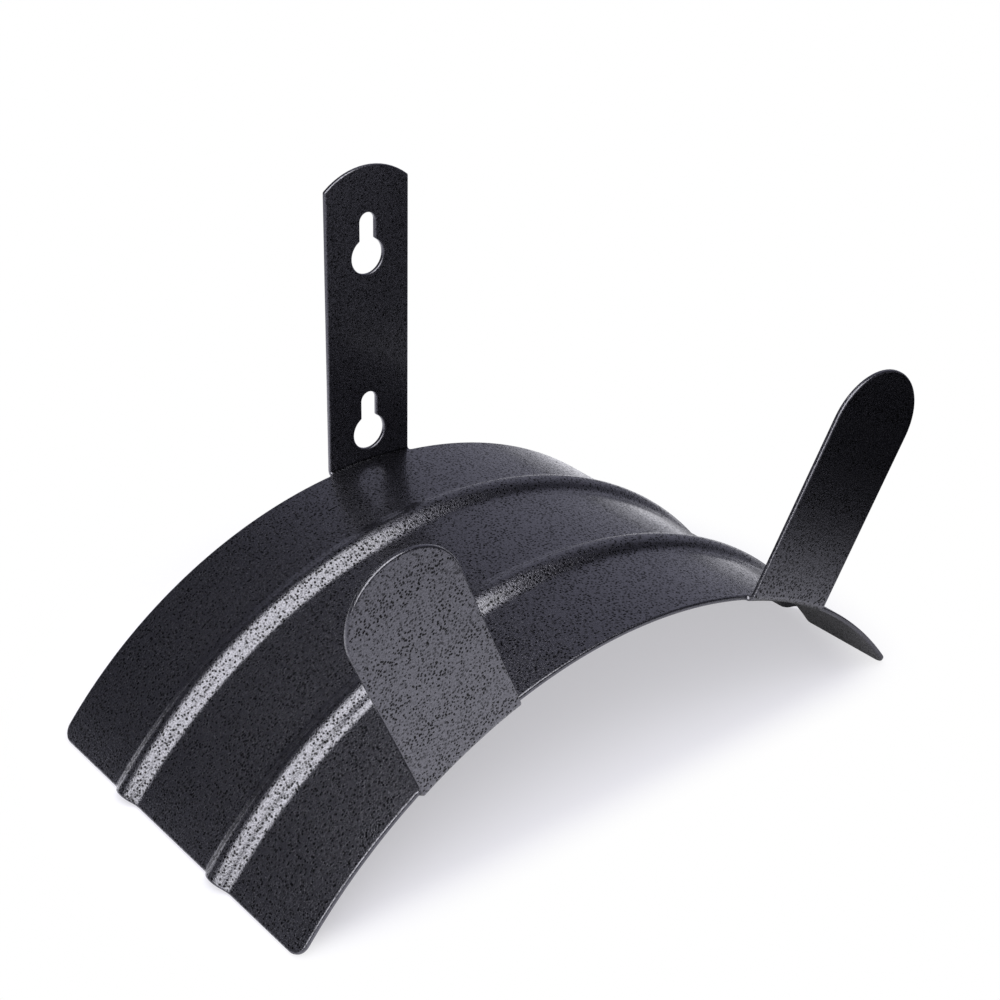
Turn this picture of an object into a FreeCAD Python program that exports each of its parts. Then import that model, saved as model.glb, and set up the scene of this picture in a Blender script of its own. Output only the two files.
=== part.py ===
"""Wall hanger for a garden hose, folded from one blank of sheet steel.

An arched saddle carries the coiled hose. A tongue turns up from the saddle's back edge and hangs on
two screws by its keyholes, and two fingers turn up from its front edge and keep the hose on. Two
beads pressed round the saddle stiffen it. It is all one piece of sheet, so it is one solid.

The wall is the plane Y = 0, with the hanger on its -Y side. X runs along the wall and Z is up. The
origin lies on the tongue's back face, midway between the round parts of the two keyholes.
"""
import FreeCAD, Part

import math
import os

# Sheet and folds, in millimetres and degrees like all the sizes below
sheet = 1.8
bend_radius = 1.0
flare_radius = 0.8

# Saddle: an arch of constant radius about an axis square to the wall
arch_radius = 166.0
arch_half_angle = 53.3
saddle_depth = 144.5
corner_radius = 5.0

# Beads pressed outwards, with their places measured from the saddle's back edge
bead_width = 16.0
bead_height = 3.4
bead_foot_radius = 3.0
bead_places = (44.0, 99.5)

# Tongue, with its height measured from the crown of the arch
tongue_width = 35.5
tongue_height = 112.5
tongue_top_rise = 6.5
tongue_corner_radius = 1.0

# Fingers, one each side of the middle, with their length measured from the arch
finger_angle = 25.0
finger_width = 41.5
finger_length = 86.0
finger_lean = 3.3

# Keyholes: a screw's head goes through the round part, and its shank slides up the slot
keyhole_head = 13.5
keyhole_slot = 6.5
keyhole_travel = 12.8

# Heights of the round parts: the lower one above the arch, the upper one below the tongue's top
keyhole_low = 11.0
keyhole_high = 33.0

# Places that follow from these sizes
keyhole_spacing = tongue_height - keyhole_low - keyhole_high
outer_bend = bend_radius + sheet
back_edge = -outer_bend
front_edge = back_edge - saddle_depth
crown_z = -(keyhole_low + keyhole_spacing / 2)
axis_z = crown_z - arch_radius

ALONG_Y = FreeCAD.Vector(0, 1, 0)
UP = FreeCAD.Vector(0, 0, 1)
ARCH_CENTRE = FreeCAD.Vector(0, 0, axis_z)
CLEAR = 5 * sheet


def section_point(y, radius):
    """A point of a section through the crown, at a distance from the arch's axis."""
    return FreeCAD.Vector(0, y, axis_z + radius)


def section_line(start, end):
    """A straight edge of a section, between two (y, radius) pairs."""
    return Part.makeLine(section_point(*start), section_point(*end))


def on_circle(centre, radius, direction):
    """The pair at a radius from a centre, in a direction given in degrees."""
    turn = math.radians(direction)
    return (centre[0] + radius * math.cos(turn), centre[1] + radius * math.sin(turn))


def section_arc(centre, radius, start, end):
    """An arc of a section, from one direction in degrees to another."""
    directions = (start, (start + end) / 2, end)
    points = [section_point(*on_circle(centre, radius, direction)) for direction in directions]
    return Part.Arc(*points).toShape()


def sweep_round_arch(edges, half_angle):
    """The solid that a closed section sweeps round the arch's axis, to both sides of the crown."""
    face = Part.Face(Part.Wire(Part.__sortEdges__(edges)))
    face.rotate(ARCH_CENTRE, ALONG_Y, -half_angle)
    return face.revolve(ARCH_CENTRE, ALONG_Y, 2 * half_angle)


def bead_edges(place, depth):
    """The sheet's face over a bead, at a depth under the outer face: foot, crest and foot arcs.

    Each arc is tangent to the next, and both faces of the sheet share the arcs' centres.
    """
    half = bead_width / 2
    both_radii = (half ** 2 + bead_height ** 2) / (2 * bead_height)
    crest_radius = both_radii - bead_foot_radius
    crest_centre = (place, arch_radius + bead_height - crest_radius)
    foot_height = arch_radius + bead_foot_radius
    slope = math.degrees(math.asin(half / both_radii))
    foot = bead_foot_radius + depth
    return [
        section_arc((place + half, foot_height), foot, -90, -90 - slope),
        section_arc(crest_centre, crest_radius - depth, 90 - slope, 90 + slope),
        section_arc((place - half, foot_height), foot, -90 + slope, -90),
    ]


def saddle_face_edges(depth):
    """One face of the saddle's section from its back edge to its front edge, bands and beads."""
    radius = arch_radius - depth
    edges = []
    reached = back_edge
    for distance in bead_places:
        place = back_edge - distance
        edges.append(section_line((reached, radius), (place + bead_width / 2, radius)))
        edges.extend(bead_edges(place, depth))
        reached = place - bead_width / 2
    edges.append(section_line((reached, radius), (front_edge, radius)))
    return edges


def runs_through_sheet(edge, places, axis):
    """Whether a straight edge crosses the sheet and lies whole at one of the places along an axis."""
    values = [getattr(vertex, axis) for vertex in edge.Vertexes]
    at_place = any(all(abs(value - place) < 1e-6 for value in values) for place in places)
    return at_place and abs(edge.Length - sheet) < 1e-6


def make_saddle():
    """The arch with its beads, which run out at both ends, and its four rounded corners."""
    edges = saddle_face_edges(0.0) + saddle_face_edges(sheet)
    for y in (back_edge, front_edge):
        edges.append(section_line((y, arch_radius - sheet), (y, arch_radius)))
    saddle = sweep_round_arch(edges, arch_half_angle)
    rims = (back_edge, front_edge)
    corners = [edge for edge in saddle.Edges if runs_through_sheet(edge, rims, "Y")]
    return saddle.makeFillet(corner_radius, corners)


def fold_solid(half_width, lean, leaf):
    """A bend that turns up from a cut edge at Y = 0, with a straight leaf of some length above it.

    It is swept round the arch, so the bend follows the curved edge. The leaf leans towards +Y. With
    a leaf of no length, only the bend is left.
    """
    centre = (0.0, arch_radius + bend_radius)
    tilt = math.radians(lean)
    edges = [section_line((0.0, arch_radius), (0.0, arch_radius - sheet))]
    tips = []
    for radius in (bend_radius, outer_bend):
        foot = on_circle(centre, radius, -lean)
        tip = (foot[0] + leaf * math.sin(tilt), foot[1] + leaf * math.cos(tilt))
        edges.append(section_arc(centre, radius, -90, -lean))
        if leaf > 0:
            edges.append(section_line(foot, tip))
        tips.append(tip)
    edges.append(section_line(*tips))
    reach = math.degrees(math.atan((half_width + CLEAR) / (arch_radius - sheet)))
    return sweep_round_arch(edges, reach)


def prism(corners, arcs, start, travel):
    """The solid of a closed outline of points, pushed along a vector.

    A point's index in arcs makes its stretch an arc to the next point but one, over the next.
    """
    edges = []
    index = 0
    while index < len(corners):
        first = FreeCAD.Vector(*corners[index])
        second = FreeCAD.Vector(*corners[(index + 1) % len(corners)])
        if index in arcs:
            third = FreeCAD.Vector(*corners[(index + 2) % len(corners)])
            edges.append(Part.Arc(first, second, third).toShape())
            index += 2
        else:
            edges.append(Part.makeLine(first, second))
            index += 1
    face = Part.Face(Part.Wire(edges))
    face.translate(start)
    return face.extrude(travel)


def make_tab(width, height, top_rise, lean):
    """A tab at the crown of the arch, folded up from a cut edge at Y = 0 and standing beside it.

    Its height is measured from the arch. Its sides are straight and its top is an arc that rises
    over its corners. At its foot the bend flares into the cut edge, by less than the bend's radius.
    """
    half = width / 2
    low = crown_z - height / 2
    shoulder = crown_z + height - top_rise
    top = crown_z + height
    front = [(half, 0, low), (half, 0, shoulder), (0, 0, top), (-half, 0, shoulder), (-half, 0, low)]
    reach = outer_bend + height * math.tan(math.radians(lean)) + CLEAR
    outline = prism(front, (1,), FreeCAD.Vector(0, -CLEAR, 0), FreeCAD.Vector(0, CLEAR + reach, 0))
    leaf = fold_solid(half, lean, height).common(outline)
    return leaf.fuse(make_foot(half, lean))


def make_foot(half, lean):
    """The bend of a tab with its two flares, which are fillets in the corners of the blank."""
    wide = half + flare_radius
    near = flare_radius * (1 - math.sqrt(0.5))
    plan = [
        (wide, -CLEAR, 0),
        (wide, 0, 0), (half + near, near, 0), (half, flare_radius, 0),
        (half, CLEAR, 0), (-half, CLEAR, 0), (-half, flare_radius, 0),
        (-half - near, near, 0), (-wide, 0, 0),
        (-wide, -CLEAR, 0),
    ]
    low = FreeCAD.Vector(0, 0, axis_z + arch_radius / 2)
    outline = prism(plan, (1, 6), low, FreeCAD.Vector(0, 0, arch_radius))
    return fold_solid(half, lean, 0.0).common(outline)


def keyhole_cutter(round_z):
    """The round hole and the slot above it, as one outline pushed through the tongue."""
    head = keyhole_head / 2
    slot = keyhole_slot / 2
    neck = round_z + math.sqrt(head ** 2 - slot ** 2)
    seat = round_z + keyhole_travel
    outline = [
        (slot, 0, neck), (slot, 0, seat), (0, 0, seat + slot), (-slot, 0, seat),
        (-slot, 0, neck), (0, 0, round_z - head),
    ]
    start = FreeCAD.Vector(0, -sheet - CLEAR, 0)
    return prism(outline, (1, 4), start, FreeCAD.Vector(0, sheet + 2 * CLEAR, 0))


def make_tongue():
    """The leaf that lies on the wall, with its top corners just rounded and its two keyholes."""
    tongue = make_tab(tongue_width, tongue_height, tongue_top_rise, 0.0)
    shoulder = crown_z + tongue_height - tongue_top_rise
    corners = [edge for edge in tongue.Edges if runs_through_sheet(edge, (shoulder,), "Z")]
    tongue = tongue.makeFillet(tongue_corner_radius, corners)
    tongue.translate(FreeCAD.Vector(0, back_edge, 0))
    for side in (-1, 1):
        tongue = tongue.cut(keyhole_cutter(side * keyhole_spacing / 2))
    return tongue


def make_finger(side):
    """A finger with a full round tip, square to the arch on one side of its crown."""
    finger = make_tab(finger_width, finger_length, finger_width / 2, finger_lean)
    finger.rotate(ARCH_CENTRE, UP, 180)
    finger.translate(FreeCAD.Vector(0, front_edge, 0))
    finger.rotate(ARCH_CENTRE, ALONG_Y, side * finger_angle)
    return finger


def make_hanger():
    """The whole hanger as one solid."""
    tabs = [make_tongue(), make_finger(-1), make_finger(1)]
    return make_saddle().multiFuse(tabs).removeSplitter()


def main():
    """Write the hanger to its file."""
    os.makedirs("parts", exist_ok=True)
    hanger = make_hanger()
    print("valid:", hanger.isValid(), "solids:", len(hanger.Solids), "faces:", len(hanger.Faces))
    print("volume, cubic centimetres:", round(hanger.Volume / 1000, 2))
    hanger.exportStep("parts/hanger.step")


main()
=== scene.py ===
"""Hose hanger: the look of a wall hanger folded from one sheet of steel, on a pale studio floor.

The hanger is drawn as the flat blank it is cut from, and one function folds that blank: round the
arch, over the two beads, and up into the tongue and the two fingers. Sizes are in metres.
"""

import math

import bmesh
import bpy
import numpy as np
from mathutils import Matrix, Vector


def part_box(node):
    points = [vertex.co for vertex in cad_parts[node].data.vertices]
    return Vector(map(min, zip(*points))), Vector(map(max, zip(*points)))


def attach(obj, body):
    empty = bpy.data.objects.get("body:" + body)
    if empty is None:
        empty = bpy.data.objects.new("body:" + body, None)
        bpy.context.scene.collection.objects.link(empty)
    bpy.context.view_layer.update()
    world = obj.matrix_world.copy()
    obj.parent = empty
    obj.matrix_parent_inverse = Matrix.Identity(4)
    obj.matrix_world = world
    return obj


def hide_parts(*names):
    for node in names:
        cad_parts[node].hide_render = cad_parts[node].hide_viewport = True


bl_info = {
    "name": "Hose Hanger",
    "version": (1, 0, 0),
    "blender": (4, 5, 0),
    "location": "3D View > Sidebar > Hose Hanger",
    "description": "Builds a folded steel hose hanger with a hammered coat, and its studio",
    "category": "Mesh",
}

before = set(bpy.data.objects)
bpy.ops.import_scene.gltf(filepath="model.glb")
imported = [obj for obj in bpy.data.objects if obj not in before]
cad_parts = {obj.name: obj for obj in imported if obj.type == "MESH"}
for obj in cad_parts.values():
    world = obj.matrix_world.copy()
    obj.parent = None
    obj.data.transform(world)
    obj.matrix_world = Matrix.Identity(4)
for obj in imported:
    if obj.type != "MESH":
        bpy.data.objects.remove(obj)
floor_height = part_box("hanger")[0].z

HALF_TURN = math.pi
RIGHT_ANGLE = math.pi / 2

# Steps of the mesh: round a rim, a flare, a bend and a corner of the saddle
RIM_STEPS = 5
FLARE_STEPS = 6
BEND_STEPS = 5
CORNER_STEPS = 9

# Steps along the arch, from the tongue to a finger and from a finger out to the corners
BETWEEN_STEPS = 12
OUTER_STEPS = 19

# Steps from the back edge to the front edge: the beads, the flat between them, and the bands beside
# the edges, whose steps grow inwards with a power of their number
BEAD_FOOT_STEPS = 5
BEAD_CREST_STEPS = 14
GAP_STEPS = 11
EDGE_STEPS = 4
BAND_STEPS = 11
BAND_POWER = 1.5

# Steps of the tabs: round their tops, up their leaves, and round and beside a keyhole
TONGUE_TOP_STEPS = 24
FINGER_TOP_STEPS = 36
FINGER_LEAF_STEPS = 26
TONGUE_LEAF_STEPS = (3, 10, 5)
KEYHOLE_SIDE_STEPS = 12
KEYHOLE_RINGS = 4
NECK_STEPS = 4
SLOT_STEPS = 4

# Leaf kept clear round a keyhole, in rim radii, and how close points are joined at the seams
KEYHOLE_MARGIN = 1.5
JOIN_DISTANCE = 2e-6

# A pit's fading border in cell sizes, its least share of black, and how its cell's random number
# spreads over the shares above that
PIT_BORDER = (0.34, 0.48)
LEAST_BLACK = 0.45
BLACK_SPREAD = (0.15, 0.70)

# Noises of the coat: their waves for each pit and their detail, the middle of their values, and
# the values where the grain is darkest and lightest
DRIFT_NOISE = (1.3, 2.0)
GRAIN_NOISE = (2.1, 1.0)
PEEL_NOISE = (0.8, 3.0)
CROWD_DETAIL = 2.0
NOISE_MIDDLE = 0.5
GRAIN_SPREAD = (0.3, 0.7)

# Painted shade in a fold's crease, and a darker outermost part of a rim: how far each turns the
# coat towards the pits' colour and takes its lacquer away, and where that part of a rim starts
CREASE_PAINTED_SHADE = 0.95
RIM_DARKENING = 0.1
RIM_DARKENING_START = 0.75

# Refraction of the lacquer and of the paint, which are alike
LACQUER_IOR = 1.5

# Round patches of the floor: X and Y of the middle, and the radii where each starts to fade and ends
NEAR_PATCH = (0.0, -0.07, 0.13, 0.17)
ROUND_PATCH = (0.0, -0.07, 0.10, 0.26)
BEHIND_PATCH = (0.0, 0.0, 0.15, 0.35)
# Painted dark reflection: dark to every ray but the camera's, for what the hanger reflects
PAINTED_DARK_PATCH = (0.34, -0.36, 0.19, 0.29)
# Painted shadow under the hanger's right end, dark to every ray but the camera's, and how dark
PAINTED_SHADOW_PATCH = (0.13, -0.06, 0.06, 0.13)
PAINTED_SHADOW_SHARE = 0.75

# Y where the floor's near part starts and is full, and the same for its part behind the hanger
NEAR_START = (-0.162, -0.138)
BEHIND_START = (-0.06, 0.0)

# Painted glow of the floor, seen only in reflections, behind the hanger and round it, as shares of
# the light it gives to the camera
BEHIND_GLOW = 1.2
ROUND_GLOW = 0.5

# Steps of the floor's mesh
FLOOR_RINGS = 23
FLOOR_SPOKES = 72

WHITE = (1.0, 1.0, 1.0, 1.0)

# Direction of the room's pale corner, and how much a direction agrees with it where the corner starts
CORNER_DIRECTION = Vector((0.74, 0.64, 0.20)).normalized()
CORNER_START = 0.55

SENSOR_WIDTH = 36.0


def size(name, description, default):
    """A length that a user may change."""
    return bpy.props.FloatProperty(
        name=name, description=description, default=default, unit="LENGTH", precision=5
    )


def turn(name, description, default):
    """An angle that a user may change, given in degrees and kept in radians."""
    return bpy.props.FloatProperty(
        name=name, description=description, default=math.radians(default), subtype="ANGLE"
    )


def tint(name, description, default):
    """A colour that a user may change."""
    return bpy.props.FloatVectorProperty(
        name=name, description=description, default=default, subtype="COLOR", size=3, min=0, max=1
    )


def amount(name, description, default):
    """A plain number that a user may change."""
    return bpy.props.FloatProperty(name=name, description=description, default=default)


def spot(name, description, default):
    """A point in space that a user may change."""
    return bpy.props.FloatVectorProperty(
        name=name, description=description, default=default, subtype="TRANSLATION", size=3
    )


class HangerSheet(bpy.types.PropertyGroup):
    """The sheet and how it is folded."""

    thickness: size("Thickness", "Steel and coat together", 0.0018)
    bend: size("Bend", "Radius inside a fold", 0.0010)
    flare: size("Flare", "Radius where a tab's side meets the cut edge", 0.0008)
    rim: size("Rim", "Radius of the coat round every cut edge", 0.00060)


class HangerArch(bpy.types.PropertyGroup):
    """The saddle that the hose hangs on."""

    radius: size("Radius", "Outer radius of the arch", 0.166)
    half_angle: turn("Half angle", "From the crown to one end", 53.3)
    depth: size("Depth", "From the back edge to the front edge", 0.1445)
    corner: size("Corner", "Radius of its four corners", 0.005)
    crown: size("Crown", "Height of the crown over the origin", -0.04525)
    back: size("Back edge", "Place of the back edge along Y", -0.0028)


class HangerBeads(bpy.types.PropertyGroup):
    """The two stiffening beads, pressed outwards."""

    width: size("Width", "Across a bead, foot to foot", 0.016)
    height: size("Height", "Of a bead's crest over the saddle", 0.0034)
    foot: size("Foot", "Radius where a bead runs into the flat", 0.0045)
    first: size("First bead", "Its middle, from the back edge", 0.044)
    second: size("Second bead", "Its middle, from the back edge", 0.0995)


class HangerTongue(bpy.types.PropertyGroup):
    """The tongue that hangs on the wall, with its keyholes."""

    width: size("Width", "Of the tongue", 0.0355)
    height: size("Height", "From the arch to the tongue's top", 0.1125)
    rise: size("Rise", "Of the top's arc over its corners", 0.0065)
    corner: size("Corner", "Radius of the top corners", 0.0010)
    head: size("Keyhole head", "Radius of a keyhole's round part", 0.00675)
    slot: size("Keyhole slot", "Half the width of a keyhole's slot", 0.00325)
    travel: size("Keyhole travel", "From the round part up to the slot's end", 0.0128)
    neck: size("Keyhole neck", "Radius of the coat where slot and round meet", 0.0007)
    low: size("Lower keyhole", "Its round part's height over the arch", 0.011)
    spacing: size("Keyhole spacing", "From one keyhole to the other", 0.0685)


class HangerFingers(bpy.types.PropertyGroup):
    """The two fingers that keep the hose on."""

    angle: turn("Angle", "From the crown to a finger's middle", 25.0)
    width: size("Width", "Of a finger", 0.0415)
    length: size("Length", "From the arch to a finger's tip", 0.086)
    lean: turn("Lean", "Of a finger, away from the wall", 3.3)


class HangerCoat(bpy.types.PropertyGroup):
    """The hammered coat: paint under a clear lacquer."""

    body: tint("Body", "Colour of the coat", (0.164, 0.162, 0.184))
    pit: tint("Pits", "Colour of the pits in it", (0.0015, 0.0015, 0.002))
    tone: amount("Tone", "How much lighter and darker its grain is, as a share", 0.3)
    pits_per_metre: amount("Pit frequency", "Pits along a metre", 1000.0)
    pit_drift: amount("Pit drift", "How far a pit's border strays, in pit spacings", 0.40)
    crowds_per_metre: amount("Crowd frequency", "Patches of larger pits along a metre", 95.0)
    crowding: amount("Crowding", "How much larger the pits are there, in pit spacings", 0.16)
    relief: size("Relief", "Height of the coat's relief", 0.00012)
    relief_strength: amount("Relief strength", "How much of the relief shows", 0.60)
    peel: amount("Peel", "Share of slow orange peel in the relief", 0.40)
    grain: amount("Grain", "Share of fine grain in the relief", 0.55)
    pit_sink: amount("Pit sink", "Share of the relief that a pit is sunk by", 0.25)
    roughness: amount("Roughness", "Of the paint", 0.27)
    pit_roughness: amount("Pit roughness", "What a pit adds to it", 0.2)
    pit_bareness: amount("Pit bareness", "Share of the lacquer that a pit lacks", 0.8)
    lacquer_roughness: amount("Lacquer roughness", "Of the clear lacquer", 0.15)


class HangerStage(bpy.types.PropertyGroup):
    """The floor, the room, the lamp and the camera."""

    floor: tint("Floor", "Colour of the floor", (0.475, 0.475, 0.513))
    floor_reach: size("Floor reach", "Radius of the floor", 6.0)
    floor_lift: amount("Floor lift", "Light that the floor adds to what the camera sees", 0.50)
    lift_tint: tint("Floor lift's colour", "Colour of that light", (0.975, 0.965, 1.0))
    painted_dark: tint("Painted dark", "Colour of the floor's dark parts in reflections", (0.012, 0.012, 0.015))
    room: tint("Room", "Colour of the dark room", (0.054, 0.054, 0.070))
    corner: tint("Corner", "Colour of the room's pale corner", (0.25, 0.25, 0.31))
    lamp_place: spot("Lamp place", "Where the softbox stands", (-0.664, -0.236, 0.781))
    lamp_aim: spot("Lamp aim", "The point that the softbox faces", (-0.314, 0.164, -0.079))
    lamp_width: size("Lamp width", "Of the softbox", 2.19)
    lamp_height: size("Lamp height", "Of the softbox", 1.35)
    lamp_roll: turn("Lamp roll", "Of the softbox, about its own axis", 50.0)
    lamp_power: amount("Lamp power", "In watts", 25.0)
    camera_place: spot(
        "Camera place", "Where the camera stands", (-0.368895, -0.512209, 0.275075))
    camera_turn: turn("Camera turn", "Round the hanger, from straight in front", -40.282)
    camera_tilt: turn("Camera tilt", "Above the horizon", 28.175)
    camera_roll: turn("Camera roll", "About its own line of sight", 1.563)
    camera_lens: amount("Camera lens", "Focal length in millimetres on a 36 mm sensor", 68.499)


def bead_profile(beads, along, middle):
    """Height and slope of one bead over the flat, at distances from the back edge.

    Over the crest the height is h = height - crest + sqrt(crest^2 - x^2), with x the distance from
    the bead's middle. Over each foot it is h = foot - sqrt(foot^2 - t^2), with t the distance in
    from the bead's border. The two arcs are tangent where they meet.
    """
    half = beads.width / 2
    both = (half ** 2 + beads.height ** 2) / (2 * beads.height)
    crest = both - beads.foot
    x = along - middle
    # Both roots are kept off zero where the other arc is the one that counts
    t = np.clip(half - np.abs(x), 0.0, beads.foot * 0.999)
    on_crest = np.sqrt(np.maximum(crest ** 2 - x ** 2, crest ** 2 * 1e-4))
    on_foot = np.sqrt(beads.foot ** 2 - t ** 2)
    inner = np.abs(x) < crest * half / both
    height = np.where(inner, beads.height - crest + on_crest, beads.foot - on_foot)
    slope = np.where(inner, -x / on_crest, -np.sign(x) * t / on_foot)
    return height, slope


def saddle_section(hanger, along, depth):
    """The saddle's section: place along its depth and distance from the arch's axis.

    The outer face is the flat plus both beads, and a point under it lies at its depth along the
    face's own normal (-slope, 1) / sqrt(1 + slope^2).
    """
    beads = hanger.beads
    first = bead_profile(beads, along, beads.first)
    second = bead_profile(beads, along, beads.second)
    height = first[0] + second[0]
    slope = first[1] + second[1]
    steep = np.sqrt(1 + slope ** 2)
    return along + depth * slope / steep, hanger.arch.radius + height - depth / steep


def fold(hanger, angle, centre, tab, along, depth):
    """Folds points of the flat blank into space.

    Between the two cut edges a point goes round the arch: X = r sin(angle), Z = axis + r cos(angle).
    Past an edge by an arc length s it goes up the bend, at the turn s / bend: out = (bend + depth)
    sin(turn), up = bend - (bend + depth) cos(turn), and after the bend straight on up the tab. A
    tab's points keep their own X across it, so its sides are straight.
    """
    sheet, arch = hanger.sheet, hanger.arch
    inside = np.clip(along, 0.0, arch.depth)
    past = np.abs(along - inside)
    to_wall = np.where(along < arch.depth / 2, 1.0, -1.0)
    lean = np.where(along < arch.depth / 2, 0.0, hanger.fingers.lean)
    place, radius = saddle_section(hanger, inside, depth)

    bend_end = sheet.bend * (RIGHT_ANGLE - lean)
    turned = np.minimum(past, bend_end) / sheet.bend
    straight = np.maximum(past - bend_end, 0.0)
    out = (sheet.bend + depth) * np.sin(turned) + straight * np.sin(lean)
    up = sheet.bend - (sheet.bend + depth) * np.cos(turned) + straight * np.cos(lean)

    folded = past > 0
    y = np.where(folded, arch.back - inside + to_wall * out, arch.back - place)
    r = np.where(folded, arch.radius + up, radius)
    across = np.where(tab, arch.radius, r) * np.sin(angle - centre)
    rise = np.sqrt(r ** 2 - across ** 2)
    x = across * np.cos(centre) + rise * np.sin(centre)
    z = rise * np.cos(centre) - across * np.sin(centre)
    return np.stack(np.broadcast_arrays(x, y, arch.crown - arch.radius + z), axis=-1)


class Columns:
    """Lines of the blank from its back edge to its front edge, from left to right.

    Each has its angle round the arch, the centre of the tab it belongs to, whether it is part of a
    tab, where it starts and ends a rim's radius in from the outline, and the outline's outward
    direction (across, along) at both places. A direction of (0, 0) means that a tab goes on there.
    """

    fields = ("angle", "centre", "tab", "low", "high", "low_x", "low_y", "high_x", "high_y")

    def __init__(self):
        self.parts = {name: [] for name in self.fields}

    def add(self, angle, **values):
        """Adds a run of columns, each value a number or one number for each column."""
        count = len(angle)
        self.parts["angle"].append(np.asarray(angle, float))
        for name in self.fields[1:]:
            self.parts[name].append(np.broadcast_to(np.asarray(values[name], float), (count,)))

    def joined(self):
        """All the columns, with the left half as the mirror image of the right."""
        right = {name: np.concatenate(parts) for name, parts in self.parts.items()}
        mirrored = ("angle", "centre", "low_x", "high_x")
        both = {}
        for name, values in right.items():
            sign = -1.0 if name in mirrored else 1.0
            both[name] = np.concatenate([sign * values[:0:-1], values])
        return both


def top_path(width, top, rise, corner, rim, steps):
    """The rounded top of a tab as (x, z) a rim's radius in from its outline, and its directions.

    It turns from the right side over the top to the left side. For a direction t the point is
    c + r (cos t, sin t), with c and r those of the corner or of the top's arc. Each corner takes a
    sixth of the steps.
    """
    half = width / 2
    arc = (half ** 2 + rise ** 2) / (2 * rise)
    arc_z = top - arc
    corner = corner if rise < half else 0.0
    corner_x = half - corner if corner else 0.0
    corner_z = arc_z + math.sqrt(max((arc - corner) ** 2 - corner_x ** 2, 0.0)) if corner else arc_z
    meets = math.atan2(corner_z - arc_z, corner_x) if corner else 0.0
    corner_steps = steps // 6 if corner else 0
    first = np.linspace(0.0, meets, corner_steps + 1)[:-1]
    middle = np.linspace(meets, HALF_TURN - meets, steps - 2 * corner_steps + 1)
    t = np.concatenate([first, middle, HALF_TURN - first[::-1]])
    at_corner = (t < meets - 1e-9) | (t > HALF_TURN - meets + 1e-9)
    r = np.where(at_corner, corner, arc) - rim
    x = np.where(at_corner, corner_x * np.sign(np.cos(t)), 0.0) + r * np.cos(t)
    z = np.where(at_corner, corner_z, arc_z) + r * np.sin(t)
    return x, z, np.cos(t), np.sin(t)


def make_columns(hanger, tongue_top, finger_top):
    """The columns of the whole blank."""
    sheet, arch = hanger.sheet, hanger.arch
    rim, flare = sheet.rim, sheet.flare
    radius, depth = arch.radius, arch.depth
    columns = Columns()
    plain_low = {"low": rim, "low_x": 0.0, "low_y": -1.0}
    plain_high = {"high": depth - rim, "high_x": 0.0, "high_y": 1.0}
    quarter = np.linspace(0.0, RIGHT_ANGLE, FLARE_STEPS + 1)

    def in_tab(x, centre):
        """The angle round the arch of a tab's column, from its place across the tab."""
        return centre + np.arcsin(x / radius)

    # Right half of the tongue, and its flare
    x = np.sort(tongue_top[0])
    x = x[len(x) // 2:]
    columns.add(in_tab(x, 0.0), centre=0.0, tab=1.0, low=-flare, low_x=1.0 * (x == x.max()),
                low_y=0.0, **plain_high)
    wide = hanger.tongue.width / 2 + flare
    x = wide - (flare + rim) * np.cos(quarter[1:])
    columns.add(
        in_tab(x, 0.0), centre=0.0, tab=1.0, low=-flare + (flare + rim) * np.sin(quarter[1:]),
        low_x=np.cos(quarter[1:]), low_y=-np.sin(quarter[1:]), **plain_high,
    )

    # Between the tongue and the right finger
    centre = hanger.fingers.angle
    tongue_end = in_tab(wide, 0.0)
    finger_wide = hanger.fingers.width / 2 + flare
    between = np.linspace(tongue_end, in_tab(-finger_wide, centre), BETWEEN_STEPS + 1)[1:-1]
    columns.add(between, centre=0.0, tab=0.0, **plain_low, **plain_high)

    # The finger between its two flares
    for side in (-1, 0, 1):
        if side == 0:
            x = np.sort(finger_top[0])
            columns.add(in_tab(x, centre), centre=centre, tab=1.0, high=depth + flare,
                        high_x=1.0 * (x == x.max()) - 1.0 * (x == x.min()), high_y=0.0,
                        **plain_low)
            continue
        quarters = quarter[::-1][:-1] if side < 0 else quarter[1:]
        x = side * (finger_wide - (flare + rim) * np.cos(quarters))
        columns.add(
            in_tab(x, centre), centre=centre, tab=1.0,
            high=depth + flare - (flare + rim) * np.sin(quarters),
            high_x=side * np.cos(quarters), high_y=np.sin(quarters), **plain_low,
        )

    # Out to the end, and round the corners
    corner = arch.corner
    end = arch.half_angle - corner / radius
    outer = np.linspace(in_tab(finger_wide, centre), end, OUTER_STEPS + 1)[1:-1]
    columns.add(outer, centre=0.0, tab=0.0, **plain_low, **plain_high)
    t = np.linspace(0.0, RIGHT_ANGLE, CORNER_STEPS + 1)
    low = corner - (corner - rim) * np.cos(t)
    columns.add(
        end + (corner - rim) * np.sin(t) / radius, centre=0.0, tab=0.0, low=low, high=depth - low,
        low_x=np.sin(t), low_y=-np.cos(t), high_x=np.sin(t), high_y=np.cos(t),
    )
    return columns.joined()


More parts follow.
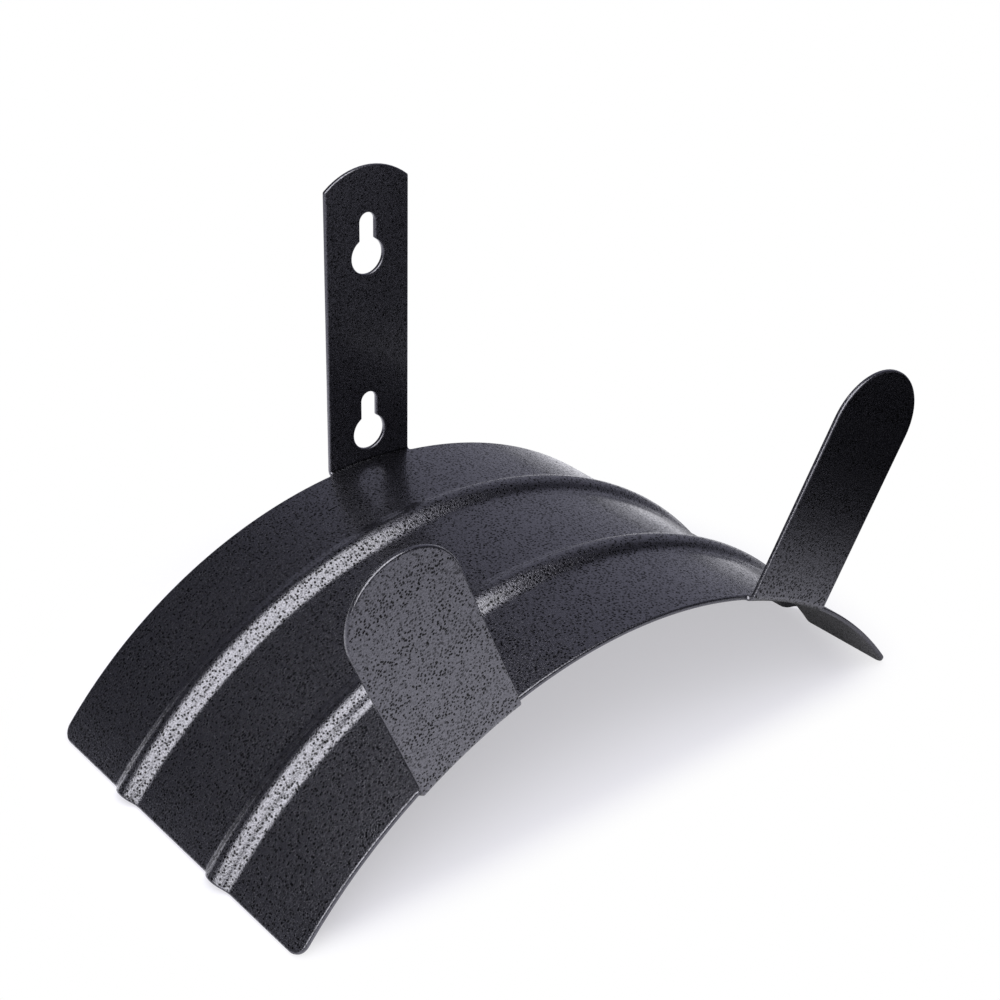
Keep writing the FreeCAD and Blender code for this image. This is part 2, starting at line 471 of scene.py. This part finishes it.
def row_places(hanger):
    """Places of the rows from the back edge to the front edge.

    A row lies at place + low weight * the column's low end + high weight * (its high end - depth),
    so that the outer rows follow the outline and the rows over the beads stay straight. Returned as
    (places, low weights, high weights).
    """
    sheet, arch, beads = hanger.sheet, hanger.arch, hanger.beads
    half = beads.width / 2
    both = (half ** 2 + beads.height ** 2) / (2 * beads.height)
    crest = both - beads.foot
    slope = math.asin(half / both)
    foot_turns = np.linspace(0.0, slope, BEAD_FOOT_STEPS + 1)
    crest_turns = np.linspace(-slope, slope, BEAD_CREST_STEPS + 1)
    foot = half - beads.foot * np.sin(foot_turns)
    over = np.concatenate([-foot, crest * np.sin(crest_turns)[1:-1], foot[::-1]])

    def band(length):
        """Shares of a band's length from the cut edge inwards, close together near the edge."""
        start = sheet.flare / (length + sheet.flare)
        near = np.linspace(0.0, start, EDGE_STEPS + 1)
        far = start + (1 - start) * np.linspace(0.0, 1.0, BAND_STEPS + 1)[1:] ** BAND_POWER
        return np.concatenate([near, far])

    first_length = beads.first - half
    last_length = arch.depth - beads.second - half
    first = band(first_length)[:-1]
    last = band(last_length)[:-1][::-1]
    gap = np.linspace(beads.first + half, beads.second - half, GAP_STEPS + 1)[1:-1]
    fixed = np.concatenate([
        first * first_length, beads.first + over, gap, beads.second + over,
        arch.depth - last * last_length,
    ])
    none = np.zeros(len(over) * 2 + len(gap))
    low = np.concatenate([1 - first, none, np.zeros(len(last))])
    high = np.concatenate([np.zeros(len(first)), none, 1 - last])
    return fixed, low, high


class Blank:
    """Collects the folded surfaces of the sheet as grids of points, and joins them at their seams."""

    def __init__(self, hanger):
        self.hanger = hanger
        sheet = hanger.sheet
        steps = np.linspace(0.0, RIGHT_ANGLE, RIM_STEPS + 1)
        out = sheet.rim * np.sin(steps)
        under = sheet.rim * (1 - np.cos(steps))
        self.out = np.concatenate([out, out[::-1]])
        self.under = np.concatenate([under, sheet.thickness - under[::-1]])
        self.grids = []

    def add(self, points, edge, crease):
        """Keeps a grid of points with how far out on a rim and how deep in a fold each one lies."""
        shape = points.shape[:2]
        self.grids.append((points, np.broadcast_to(edge, shape), np.broadcast_to(crease, shape)))

    def face(self, angle, centre, tab, along):
        """Both faces of a patch of the blank. Inside a fold the crease is sin(2 * turn)."""
        hanger = self.hanger
        past = np.abs(along - np.clip(along, 0.0, hanger.arch.depth))
        crease = np.sin(2 * np.minimum(past / hanger.sheet.bend, RIGHT_ANGLE))
        self.add(fold(hanger, angle, centre, tab, along, 0.0), 0.0, crease)
        self.add(fold(hanger, angle, centre, tab, along, hanger.sheet.thickness), 0.0, 0.0)

    def rim(self, angle, centre, tab, along):
        """The rounded rim along a path, whose columns are the steps of the rim's profile."""
        points = fold(self.hanger, angle, centre, tab, along, self.under)
        self.add(points, self.out / self.hanger.sheet.rim, 0.0)

    def leaf_places(self, x, z, centre, front, mix=1.0, normal=None):
        """Blank places of points of a tab given as (x, z), z from the arch's axis.

        With a normal the points get the rim's profile as a second axis. Along a tab's sides the
        profile turns from one that follows the bend, mix 0, to a level one, mix 1.
        """
        hanger = self.hanger
        arch, sheet = hanger.arch, hanger.sheet
        x = np.asarray(x, float)
        z = np.asarray(z, float)
        radius = np.hypot(x, z)
        if normal is not None:
            moved_x = x[:, None] + normal[0][:, None] * self.out
            moved_z = z[:, None] + normal[1][:, None] * self.out
            mix = np.broadcast_to(mix, x.shape)[:, None]
            radius = (1 - mix) * radius[:, None] + mix * np.hypot(moved_x, moved_z)
            x = moved_x
        lean = hanger.fingers.lean if front else 0.0
        foot = arch.radius + sheet.bend * (1 - math.sin(lean))
        past = sheet.bend * (RIGHT_ANGLE - lean) + (radius - foot) / math.cos(lean)
        along = arch.depth + past if front else -past
        return centre + np.arcsin(x / arch.radius), along

    def mesh(self, name):
        """One closed mesh of all the grids, with its edge and crease values as attributes."""
        points, faces, edges, creases, first = [], [], [], [], 0
        for grid, edge, crease in self.grids:
            rows, cols = grid.shape[:2]
            index = first + np.arange(rows * cols).reshape(rows, cols)
            quads = [index[:-1, :-1], index[1:, :-1], index[1:, 1:], index[:-1, 1:]]
            faces.append(np.stack(quads, axis=-1).reshape(-1, 4))
            points.append(grid.reshape(-1, 3))
            edges.append(edge.ravel())
            creases.append(crease.ravel())
            first += rows * cols
        mesh = bpy.data.meshes.new(name)
        mesh.from_pydata(np.concatenate(points), [], np.concatenate(faces))
        for title, values in (("edge", edges), ("crease", creases)):
            kept = mesh.attributes.new(title, "FLOAT", "POINT")
            kept.data.foreach_set("value", np.concatenate(values).astype(np.float32))
        shape = bmesh.new()
        shape.from_mesh(mesh)
        bmesh.ops.remove_doubles(shape, verts=shape.verts, dist=JOIN_DISTANCE)
        bmesh.ops.recalc_face_normals(shape, faces=shape.faces)
        open_edges = sum(1 for edge in shape.edges if len(edge.link_faces) != 2)
        print("hanger mesh:", len(shape.faces), "faces,", open_edges, "open edges")
        if open_edges:
            raise RuntimeError(f"the folded sheet has {open_edges} open edges")
        shape.to_mesh(mesh)
        shape.free()
        return mesh


def shade_by_area(mesh):
    """Smooth shading whose normals are the sum of the faces' normals times their areas."""
    count = len(mesh.polygons)
    normals = np.empty(count * 3)
    areas = np.empty(count)
    totals = np.empty(count, int)
    mesh.polygons.foreach_get("normal", normals)
    mesh.polygons.foreach_get("area", areas)
    mesh.polygons.foreach_get("loop_total", totals)
    corners = np.empty(len(mesh.loops), int)
    mesh.loops.foreach_get("vertex_index", corners)
    weighted = normals.reshape(-1, 3) * areas[:, None]
    sums = np.zeros((len(mesh.vertices), 3))
    np.add.at(sums, corners, np.repeat(weighted, totals, axis=0))
    sums /= np.linalg.norm(sums, axis=1, keepdims=True)
    mesh.polygons.foreach_set("use_smooth", np.ones(count, bool))
    mesh.normals_split_custom_set_from_vertices(sums)


def keyhole_path(tongue, rim, round_z, counts):
    """A keyhole's outline, a rim's radius into the sheet, from its lowest point round to the left.

    Its right half is an arc of the round part, a small arc over the neck, the slot's straight side
    and a quarter of the slot's end. Each arc's point is c + r (cos t, sin t). The directions point
    into the hole.
    """
    round_steps, neck_steps, side_steps, end_steps = counts
    neck_x = tongue.slot + tongue.neck
    neck_z = math.sqrt((tongue.head + tongue.neck) ** 2 - neck_x ** 2)
    meets = math.atan2(neck_z, neck_x)
    t = np.linspace(-RIGHT_ANGLE, meets, round_steps + 1)
    x, z = [(tongue.head + rim) * np.cos(t)], [(tongue.head + rim) * np.sin(t)]
    nx, nz = [-np.cos(t)], [-np.sin(t)]
    t = np.linspace(meets + HALF_TURN, HALF_TURN, neck_steps + 1)[1:]
    x.append(neck_x + (tongue.neck - rim) * np.cos(t))
    z.append(neck_z + (tongue.neck - rim) * np.sin(t))
    nx.append(np.cos(t))
    nz.append(np.sin(t))
    side = np.linspace(neck_z, tongue.travel, side_steps + 1)[1:]
    x.append(np.full(side_steps, tongue.slot + rim))
    z.append(side)
    nx.append(np.full(side_steps, -1.0))
    nz.append(np.zeros(side_steps))
    t = np.linspace(0.0, RIGHT_ANGLE, end_steps + 1)[1:]
    x.append((tongue.slot + rim) * np.cos(t))
    z.append(tongue.travel + (tongue.slot + rim) * np.sin(t))
    nx.append(-np.cos(t))
    nz.append(-np.sin(t))
    x, z, nx, nz = (np.concatenate(part) for part in (x, z, nx, nz))
    x = np.concatenate([x, -x[-2::-1]])
    z = round_z + np.concatenate([z, z[-2::-1]])
    nx = np.concatenate([nx, -nx[-2::-1]])
    nz = np.concatenate([nz, nz[-2::-1]])
    return x, z, nx, nz


def add_edge_rim(blank, columns, which, run):
    """The rim of a stretch of the saddle's back edge (low) or front edge (high), flares included."""
    radius = blank.hanger.arch.radius
    angle, centre, in_tab, place, out_x, out_y = (
        columns[name][run][:, None]
        for name in ("angle", "centre", "tab", which, which + "_x", which + "_y"))
    in_tab = in_tab > 0
    x = radius * np.sin(angle - centre) + out_x * blank.out
    bent = centre + np.arcsin(np.clip(x / radius, -1, 1))
    plain = angle + out_x * blank.out / radius
    blank.rim(np.where(in_tab, bent, plain), centre, in_tab, place + out_y * blank.out)


def add_saddle(blank, columns):
    """The saddle's two faces with the starts of the bends, and its rims along edges and ends."""
    arch = blank.hanger.arch
    fixed, low_weight, high_weight = row_places(blank.hanger)
    along = (fixed[:, None] + low_weight[:, None] * columns["low"]
             + high_weight[:, None] * (columns["high"] - arch.depth))
    tab = columns["tab"] > 0
    blank.face(columns["angle"], columns["centre"], tab, along)

    for which in ("low", "high"):
        has_rim = (columns[which + "_x"] != 0) | (columns[which + "_y"] != 0)
        starts = np.flatnonzero(has_rim & ~np.concatenate([[False], has_rim[:-1]]))
        ends = np.flatnonzero(has_rim & ~np.concatenate([has_rim[1:], [False]]))
        for start, end in zip(starts, ends):
            add_edge_rim(blank, columns, which, slice(start, end + 1))
    for column, sign in ((0, -1.0), (-1, 1.0)):
        angle = columns["angle"][column] + sign * blank.out / arch.radius
        blank.rim(angle[None, :], 0.0, False, along[:, column][:, None])


def add_bend(blank, x, centre, front):
    """The rest of a tab's bend, from where its flares end, with the rims of its two sides."""
    hanger = blank.hanger
    sheet, arch = hanger.sheet, hanger.arch
    lean = hanger.fingers.lean if front else 0.0
    past = np.linspace(sheet.flare, sheet.bend * (RIGHT_ANGLE - lean), BEND_STEPS + 1)[:, None]
    along = arch.depth + past if front else -past
    blank.face(centre + np.arcsin(x / arch.radius)[None, :], centre, True, along)
    for side in (-1.0, 1.0):
        edge = side * (np.max(x) + blank.out)
        blank.rim(centre + np.arcsin(edge / arch.radius)[None, :], centre, True, along)


def add_leaf_part(blank, x, low, high, steps, centre, front):
    """A part of a tab's leaf between two heights, each one number or one for each column.

    Returns the heights of its rows at the tab's sides.
    """
    share = np.linspace(0.0, 1.0, steps + 1)[:, None]
    z = (1 - share) * low + share * high + 0 * x
    angle, along = blank.leaf_places(x + 0 * z, z, centre, front)
    blank.face(angle, centre, True, along)
    return z[:, 0]


def add_leaf_rims(blank, x, side_z, top, centre, front):
    """The rims of a tab's two sides and of its top."""
    mix = (side_z - side_z[0]) / (side_z[-1] - side_z[0])
    for side in (-1.0, 1.0):
        edge = np.full(len(side_z), side * np.max(x))
        normal = (np.full(len(side_z), side), np.zeros(len(side_z)))
        angle, along = blank.leaf_places(edge, side_z, centre, front, mix, normal)
        blank.rim(angle, centre, True, along)
    angle, along = blank.leaf_places(top[0], top[1], centre, front, 1.0, top[2:])
    blank.rim(angle, centre, True, along)


def add_keyhole(blank, x, low, high, round_z):
    """The square of leaf round a keyhole: straight lines from the hole's outline to its border."""
    tongue = blank.hanger.tongue
    half = len(x) // 2
    side_steps = KEYHOLE_SIDE_STEPS
    side = np.linspace(low, high, side_steps + 1)
    edge = np.max(x)
    border_x = np.concatenate([
        x[half:], np.full(side_steps, edge), x[::-1][1:], np.full(side_steps, -edge), x[1:half + 1]
    ])
    border_z = np.concatenate([
        np.full(len(x) - half, low), side[1:], np.full(len(x) - 1, high), side[::-1][1:],
        np.full(half, low),
    ])
    round_steps = half + side_steps // 2
    counts = (round_steps, NECK_STEPS, SLOT_STEPS, round_steps - NECK_STEPS - SLOT_STEPS)
    hole_x, hole_z, nx, nz = keyhole_path(tongue, blank.hanger.sheet.rim, round_z, counts)
    share = np.linspace(0.0, 1.0, KEYHOLE_RINGS + 1)[:, None]
    grid_x = (1 - share) * hole_x + share * border_x
    grid_z = (1 - share) * hole_z + share * border_z
    angle, along = blank.leaf_places(grid_x, grid_z, 0.0, False)
    blank.face(angle, 0.0, True, along)
    angle, along = blank.leaf_places(hole_x, hole_z, 0.0, False, 1.0, (nx, nz))
    blank.rim(angle, 0.0, True, along)
    return side


def add_finger(blank, top, centre):
    """One finger: its bend, its leaf with the round tip, and its rims."""
    hanger = blank.hanger
    x = top[0][::-1]
    top_z = top[1][::-1]
    add_bend(blank, x, centre, True)
    foot = hanger.arch.radius + hanger.sheet.bend * (1 - math.sin(hanger.fingers.lean))
    start = np.sqrt(foot ** 2 - x ** 2)
    side_z = add_leaf_part(blank, x, start, top_z, FINGER_LEAF_STEPS, centre, True)
    add_leaf_rims(blank, x, side_z, top, centre, True)


def add_tongue(blank, top):
    """The tongue: its bend, its leaf in five parts with the two keyholes, and its rims."""
    hanger = blank.hanger
    tongue, arch = hanger.tongue, hanger.arch
    x = top[0][::-1]
    top_z = top[1][::-1]
    add_bend(blank, x, 0.0, False)
    margin = KEYHOLE_MARGIN * hanger.sheet.rim
    reach_down = tongue.head + hanger.sheet.rim + margin
    reach_up = tongue.travel + tongue.slot + hanger.sheet.rim + margin
    low_round = arch.radius + tongue.low
    high_round = low_round + tongue.spacing
    foot = np.sqrt((arch.radius + hanger.sheet.bend) ** 2 - x ** 2)
    foot_steps, middle_steps, top_steps = TONGUE_LEAF_STEPS
    low_start, low_end = low_round - reach_down, low_round + reach_up
    high_start, high_end = high_round - reach_down, high_round + reach_up
    side = [
        add_leaf_part(blank, x, foot, low_start, foot_steps, 0.0, False),
        add_keyhole(blank, x, low_start, low_end, low_round),
        add_leaf_part(blank, x, low_end, high_start, middle_steps, 0.0, False),
        add_keyhole(blank, x, high_start, high_end, high_round),
        add_leaf_part(blank, x, high_end, top_z, top_steps, 0.0, False),
    ]
    side_z = np.concatenate([side[0]] + [part[1:] for part in side[1:]])
    add_leaf_rims(blank, x, side_z, top, 0.0, False)


def fold_hanger(hanger):
    """The whole folded sheet as one closed mesh."""
    arch, sheet = hanger.arch, hanger.sheet
    tongue, fingers = hanger.tongue, hanger.fingers
    tongue_top = top_path(
        tongue.width, arch.radius + tongue.height, tongue.rise, tongue.corner, sheet.rim,
        TONGUE_TOP_STEPS)
    finger_top = top_path(
        fingers.width, arch.radius + fingers.length, fingers.width / 2, 0.0, sheet.rim,
        FINGER_TOP_STEPS)
    blank = Blank(hanger)
    add_saddle(blank, make_columns(hanger, tongue_top, finger_top))
    add_tongue(blank, tongue_top)
    for side in (-1, 1):
        add_finger(blank, finger_top, side * fingers.angle)
    mesh = blank.mesh("hanger_body")
    shade_by_area(mesh)
    return mesh


class Wire:
    """A number's socket. Sums and products of wires add the Math nodes that work them out."""

    def __init__(self, graph, socket):
        self.graph = graph
        self.socket = socket

    def _math(self, operation, *values):
        """What a Math node makes of numbers and wires."""
        return self.graph.add("ShaderNodeMath", {"operation": operation}, dict(enumerate(values)))

    def __add__(self, other):
        return self._math("ADD", self, other)

    __radd__ = __add__

    def __sub__(self, other):
        return self._math("SUBTRACT", self, other)

    def __rsub__(self, other):
        return self._math("SUBTRACT", other, self)

    def __mul__(self, other):
        return self._math("MULTIPLY", self, other)

    __rmul__ = __mul__

    def other(self, output):
        """Another output of the node that this wire comes from."""
        return Wire(self.graph, self.socket.node.outputs[output])

    def smooth(self, low, high):
        """Turns from 0 at one value to 1 at another, smoothly."""
        return self.graph.add(
            "ShaderNodeMapRange", {"interpolation_type": "SMOOTHSTEP"},
            {"Value": self, "From Min": low, "From Max": high},
        )


class Graph:
    """The node tree of one material, or of the world."""

    def __init__(self, tree):
        tree.nodes.clear()
        self.tree = tree

    def add(self, kind, settings=None, inputs=None, output=0):
        """Adds a node of a type with its settings and the values or links of its inputs."""
        node = self.tree.nodes.new(kind)
        for name, value in (settings or {}).items():
            setattr(node, name, value)
        for name, value in (inputs or {}).items():
            if isinstance(value, Wire):
                self.tree.links.new(value.socket, node.inputs[name])
            else:
                node.inputs[name].default_value = value
        return Wire(self, node.outputs[output]) if len(node.outputs) else None

    def noise(self, place, frequency, waves, detail, output="Fac"):
        """Noise with a frequency, per metre, times a number of waves."""
        inputs = {"Vector": place, "Scale": frequency * waves, "Detail": detail}
        return self.add("ShaderNodeTexNoise", {"noise_dimensions": "3D"}, inputs, output)

    def vector(self, operation, first, second, output=0):
        """What a Vector Math node makes of two vectors."""
        return self.add(
            "ShaderNodeVectorMath", {"operation": operation}, {0: first, 1: second}, output)

    def mix(self, factor, first, second):
        """A colour between two colours."""
        return self.add("ShaderNodeMix", {"data_type": "RGBA"}, {0: factor, 6: first, 7: second}, 2)


def opaque(colour):
    """A colour with its alpha."""
    return (*colour, 1.0)


def scatter_pits(graph, place, look):
    """How black the coat is with pits, from 0 between them to 1 in the blackest.

    Each cell of a pattern holds one pit at its centre. Noise moves the pattern, so the pits aren't
    round, and a slower noise makes them larger in some patches than in others. The cell's colour
    serves as its random number, which says how black its pit is.
    """
    noise = graph.noise(place, look.pits_per_metre, *DRIFT_NOISE, "Color")
    drift = graph.add(
        "ShaderNodeVectorMath", {"operation": "SCALE"},
        {0: graph.vector("SUBTRACT", noise, (NOISE_MIDDLE,) * 3),
         "Scale": look.pit_drift / look.pits_per_metre})
    cells = graph.add(
        "ShaderNodeTexVoronoi", {"voronoi_dimensions": "3D", "feature": "F1"},
        {"Vector": graph.vector("ADD", place, drift), "Scale": look.pits_per_metre}, "Distance")
    crowd = graph.noise(place, look.crowds_per_metre, 1.0, CROWD_DETAIL)
    from_middle = cells + (NOISE_MIDDLE - crowd) * look.crowding
    black = cells.other("Color").smooth(*BLACK_SPREAD) * (1.0 - LEAST_BLACK) + LEAST_BLACK
    return (1.0 - from_middle.smooth(*PIT_BORDER)) * black


def make_coat(look):
    """The hammered coat: grained metallic paint with small black pits, under a clear lacquer.

    The mesh's attribute edge is 0 on the sheet's faces and 1 on a rim's outermost line, and crease
    is 1 in the middle of a fold's inner side. Rims have no pits. In a crease the coat gets painted
    shade: it turns as dark as a pit and has no lacquer. A rim's outermost part is made a little
    darker and less lacquered the same way. The relief is orange peel and grain, less what pits sink.
    """
    material = bpy.data.materials.new("hammered_coat")
    material.use_nodes = True
    graph = Graph(material.node_tree)
    place = graph.add("ShaderNodeTexCoord", output="Object")
    edge, crease = (
        graph.add(
            "ShaderNodeAttribute", {"attribute_type": "GEOMETRY", "attribute_name": name}, {}, "Fac")
        for name in ("edge", "crease"))
    pits = scatter_pits(graph, place, look) * (1.0 - edge)
    # A rim's outermost part is made a little darker and less lacquered
    rim_darkening = edge.smooth(RIM_DARKENING_START, 1.0) * RIM_DARKENING
    # Painted shade in the creases of the folds, joined with the darker rims
    shade_and_dark_rim = 1.0 - (1.0 - crease * CREASE_PAINTED_SHADE) * (1.0 - rim_darkening)
    grain = graph.noise(place, look.pits_per_metre, *GRAIN_NOISE).smooth(*GRAIN_SPREAD)
    peel = graph.noise(place, look.pits_per_metre, *PEEL_NOISE)

    light, dark = (
        tuple(part * share for part in look.body) for share in (1 + look.tone, 1 - look.tone))
    paint = graph.mix(grain, opaque(dark), opaque(light))
    height = peel * look.peel + grain * look.grain - pits * look.pit_sink
    surface = graph.add(
        "ShaderNodeBsdfPrincipled", {},
        {
            # Pits, the painted shade in creases and the darker rims take the pits' colour
            "Base Color": graph.mix(1.0 - (1.0 - pits) * (1.0 - shade_and_dark_rim), paint, opaque(look.pit)),
            "Metallic": 1.0,
            "Roughness": look.roughness + pits * look.pit_roughness,
            "IOR": LACQUER_IOR,
            # Pits, the painted shade in creases and the darker rims also lose the lacquer
            "Coat Weight": (1.0 - pits * look.pit_bareness) * (1.0 - shade_and_dark_rim),
            "Coat Roughness": look.lacquer_roughness,
            "Coat IOR": LACQUER_IOR,
            "Normal": graph.add(
                "ShaderNodeBump", {},
                {"Strength": look.relief_strength, "Distance": look.relief, "Height": height}),
        })
    graph.add("ShaderNodeOutputMaterial", {}, {"Surface": surface})
    return material


def make_floor_paint(stage):
    """Pale paper, which is white to the camera away from the hanger.

    Near the hanger it keeps its colour and shadows, with a little light of its own so that it
    meets the white. To all rays but the camera's it has painted dark patches: a painted dark
    reflection off to the front right and a painted shadow under the hanger's right end. In
    reflections a painted glow of its own makes it brighter behind the hanger and round it.
    """
    material = bpy.data.materials.new("floor_paper")
    material.use_nodes = True
    graph = Graph(material.node_tree)
    place = graph.add("ShaderNodeTexCoord", output="Object")
    camera = graph.add("ShaderNodeLightPath", output="Is Camera Ray")
    glossy = graph.add("ShaderNodeLightPath", output="Is Glossy Ray")
    inward = graph.vector("DOT_PRODUCT", place, (0.0, 1.0, 0.0), "Value")

    def patch(x, y, inner, outer):
        """1 up to one distance from a point of the floor and 0 from another on."""
        away = graph.vector("DISTANCE", place, (x, y, floor_height), "Value")
        return 1.0 - away.smooth(inner, outer)

    # Share of the paper's colour; the rest is the painted dark reflection and the painted shadow
    paper_share = (1.0 - patch(*PAINTED_DARK_PATCH)) * (1.0 - patch(*PAINTED_SHADOW_PATCH) * PAINTED_SHADOW_SHARE)
    far = 1.0 - patch(*NEAR_PATCH) * inward.smooth(*NEAR_START)
    behind = patch(*BEHIND_PATCH) * inward.smooth(*BEHIND_START) * BEHIND_GLOW
    around = patch(*ROUND_PATCH) * ROUND_GLOW
    painted_dark = (1.0 - paper_share) * (1.0 - camera)
    colour = graph.mix(painted_dark, opaque(stage.floor), opaque(stage.painted_dark))
    paper = graph.add("ShaderNodeBsdfDiffuse", {}, {"Color": colour, "Roughness": 0.5})
    lift = graph.add(
        "ShaderNodeEmission", {},
        {"Color": opaque(stage.lift_tint), "Strength": stage.floor_lift})
    white = graph.add("ShaderNodeEmission", {}, {"Color": WHITE, "Strength": 1.0})
    none = graph.add("ShaderNodeEmission", {}, {"Strength": 0.0})
    # Camera rays see the lift; glossy rays see it as a painted glow behind and round the hanger
    shown = camera + glossy * paper_share * (behind + around)
    lifted = graph.add("ShaderNodeMixShader", {}, {0: shown, 1: none, 2: lift})
    near = graph.add("ShaderNodeAddShader", {}, {0: paper, 1: lifted})
    surface = graph.add("ShaderNodeMixShader", {}, {0: far * camera, 1: near, 2: white})
    graph.add("ShaderNodeOutputMaterial", {}, {"Surface": surface})
    return material


def make_floor(stage):
    """A round floor under the hanger's lowest points: rings r = reach * share^2 about a hub."""
    rings = np.linspace(0.0, 1.0, FLOOR_RINGS + 1)[1:, None] ** 2 * stage.floor_reach
    turns = np.arange(FLOOR_SPOKES) * 2 * HALF_TURN / FLOOR_SPOKES
    x = rings * np.cos(turns)
    y = rings * np.sin(turns)
    points = np.stack([x, y, np.full_like(x, floor_height)], axis=-1).reshape(-1, 3)
    index = np.arange(len(points)).reshape(x.shape)
    after = np.roll(index, -1, axis=1)
    quads = np.stack([index[:-1], index[1:], after[1:], after[:-1]], axis=-1).reshape(-1, 4)
    hub = np.full(FLOOR_SPOKES, len(points))
    triangles = np.stack([hub, index[0], after[0]], axis=-1)
    mesh = bpy.data.meshes.new("studio_floor")
    mesh.from_pydata(
        np.append(points, [[0.0, 0.0, floor_height]], axis=0), [],
        quads.tolist() + triangles.tolist())
    mesh.materials.append(make_floor_paint(stage))
    floor = bpy.data.objects.new("studio_floor", mesh)
    bpy.context.scene.collection.objects.link(floor)
    return floor


def make_softbox(stage):
    """The one lamp: a wide softbox high on the left, which faces a point past the hanger's end."""
    lamp = bpy.data.lights.new("key_softbox", "AREA")
    lamp.shape = "RECTANGLE"
    lamp.size = stage.lamp_width
    lamp.size_y = stage.lamp_height
    lamp.energy = stage.lamp_power
    holder = bpy.data.objects.new("key_softbox", lamp)
    place = Vector(stage.lamp_place)
    turned = (Vector(stage.lamp_aim) - place).to_track_quat("-Z", "Y").to_matrix()
    holder.location = place
    holder.rotation_euler = (turned @ Matrix.Rotation(stage.lamp_roll, 3, "Z")).to_euler()
    bpy.context.scene.collection.objects.link(holder)


def make_room(stage):
    """The world: white to the camera, and otherwise a dark room with a pale corner behind."""
    world = bpy.data.worlds.new("studio_room")
    world.use_nodes = True
    graph = Graph(world.node_tree)
    camera = graph.add("ShaderNodeLightPath", output="Is Camera Ray")
    direction = graph.add("ShaderNodeTexCoord", output="Generated")
    corner = graph.vector("DOT_PRODUCT", direction, CORNER_DIRECTION, "Value")
    glow = graph.mix(
        corner.smooth(CORNER_START, 1.0), opaque(stage.room), opaque(stage.corner))
    room = graph.add("ShaderNodeBackground", {}, {"Color": glow, "Strength": 1.0})
    white = graph.add("ShaderNodeBackground", {}, {"Color": WHITE, "Strength": 1.0})
    surface = graph.add("ShaderNodeMixShader", {}, {0: camera, 1: room, 2: white})
    graph.add("ShaderNodeOutputWorld", {}, {"Surface": surface})
    bpy.context.scene.world = world


def make_camera(stage):
    """The camera at the photograph's place. Its axes follow from its turn, tilt and roll."""
    data = bpy.data.cameras.new("studio_camera")
    data.sensor_width = SENSOR_WIDTH
    data.lens = stage.camera_lens
    data.clip_start = 0.01
    data.clip_end = 50.0
    camera = bpy.data.objects.new("studio_camera", data)
    turned, tilt, roll = stage.camera_turn, stage.camera_tilt, stage.camera_roll
    back = Vector((
        math.sin(turned) * math.cos(tilt), -math.cos(turned) * math.cos(tilt), math.sin(tilt)))
    right = Vector((math.cos(turned), math.sin(turned), 0.0))
    up = back.cross(right)
    across = math.cos(roll) * right + math.sin(roll) * up
    upright = math.cos(roll) * up - math.sin(roll) * right
    turned_to = Matrix((across, upright, back)).transposed()
    camera.matrix_world = Matrix.Translation(stage.camera_place) @ turned_to.to_4x4()
    bpy.context.scene.collection.objects.link(camera)
    bpy.context.scene.camera = camera


class HangerSettings(bpy.types.PropertyGroup):
    """All the sizes and colours of the hanger and its studio."""

    sheet: bpy.props.PointerProperty(type=HangerSheet, name="Sheet")
    arch: bpy.props.PointerProperty(type=HangerArch, name="Arch")
    beads: bpy.props.PointerProperty(type=HangerBeads, name="Beads")
    tongue: bpy.props.PointerProperty(type=HangerTongue, name="Tongue")
    fingers: bpy.props.PointerProperty(type=HangerFingers, name="Fingers")
    coat: bpy.props.PointerProperty(type=HangerCoat, name="Coat")
    stage: bpy.props.PointerProperty(type=HangerStage, name="Stage")


class HANGER_OT_body(bpy.types.Operator):
    """Folds the hanger's sheet and coats it"""

    bl_idname = "hanger.body"
    bl_label = "Hanger Body"

    def execute(self, context):
        settings = context.scene.hose_hanger
        body = bpy.data.objects.new("hanger_body", fold_hanger(settings))
        body.data.materials.append(make_coat(settings.coat))
        context.scene.collection.objects.link(body)
        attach(body, "root")
        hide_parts("hanger")
        return {"FINISHED"}


class HANGER_OT_stage(bpy.types.Operator):
    """Sets up the floor, the room, the softbox and the camera"""

    bl_idname = "hanger.stage"
    bl_label = "Stage"

    def execute(self, context):
        stage = context.scene.hose_hanger.stage
        make_floor(stage)
        make_room(stage)
        make_softbox(stage)
        make_camera(stage)
        context.scene.view_settings.view_transform = "Standard"
        return {"FINISHED"}


class HANGER_PT_panel(bpy.types.Panel):
    """Lists the hanger's operators"""

    bl_idname = "HANGER_PT_panel"
    bl_label = "Hose Hanger"
    bl_space_type = "VIEW_3D"
    bl_region_type = "UI"
    bl_category = "Hose Hanger"

    def draw(self, context):
        for operator in (HANGER_OT_body, HANGER_OT_stage):
            self.layout.operator(operator.bl_idname)
        settings = context.scene.hose_hanger
        for group in ("sheet", "arch", "beads", "tongue", "fingers", "coat", "stage"):
            box = self.layout.box()
            box.label(text=group.title())
            values = getattr(settings, group)
            for name in type(values).__annotations__:
                box.prop(values, name)


CLASSES = (
    HangerSheet, HangerArch, HangerBeads, HangerTongue, HangerFingers, HangerCoat, HangerStage,
    HangerSettings, HANGER_OT_body, HANGER_OT_stage, HANGER_PT_panel,
)


def register():
    """Registers the classes and the scene's settings."""
    for kind in CLASSES:
        bpy.utils.register_class(kind)
    bpy.types.Scene.hose_hanger = bpy.props.PointerProperty(type=HangerSettings)


def unregister():
    """Takes the settings and the classes away again."""
    del bpy.types.Scene.hose_hanger
    for kind in reversed(CLASSES):
        bpy.utils.unregister_class(kind)


def main():
    """Builds everything."""
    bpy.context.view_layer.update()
    register()
    bpy.ops.hanger.body()
    bpy.ops.hanger.stage()


if __name__ == "__main__":
    main()
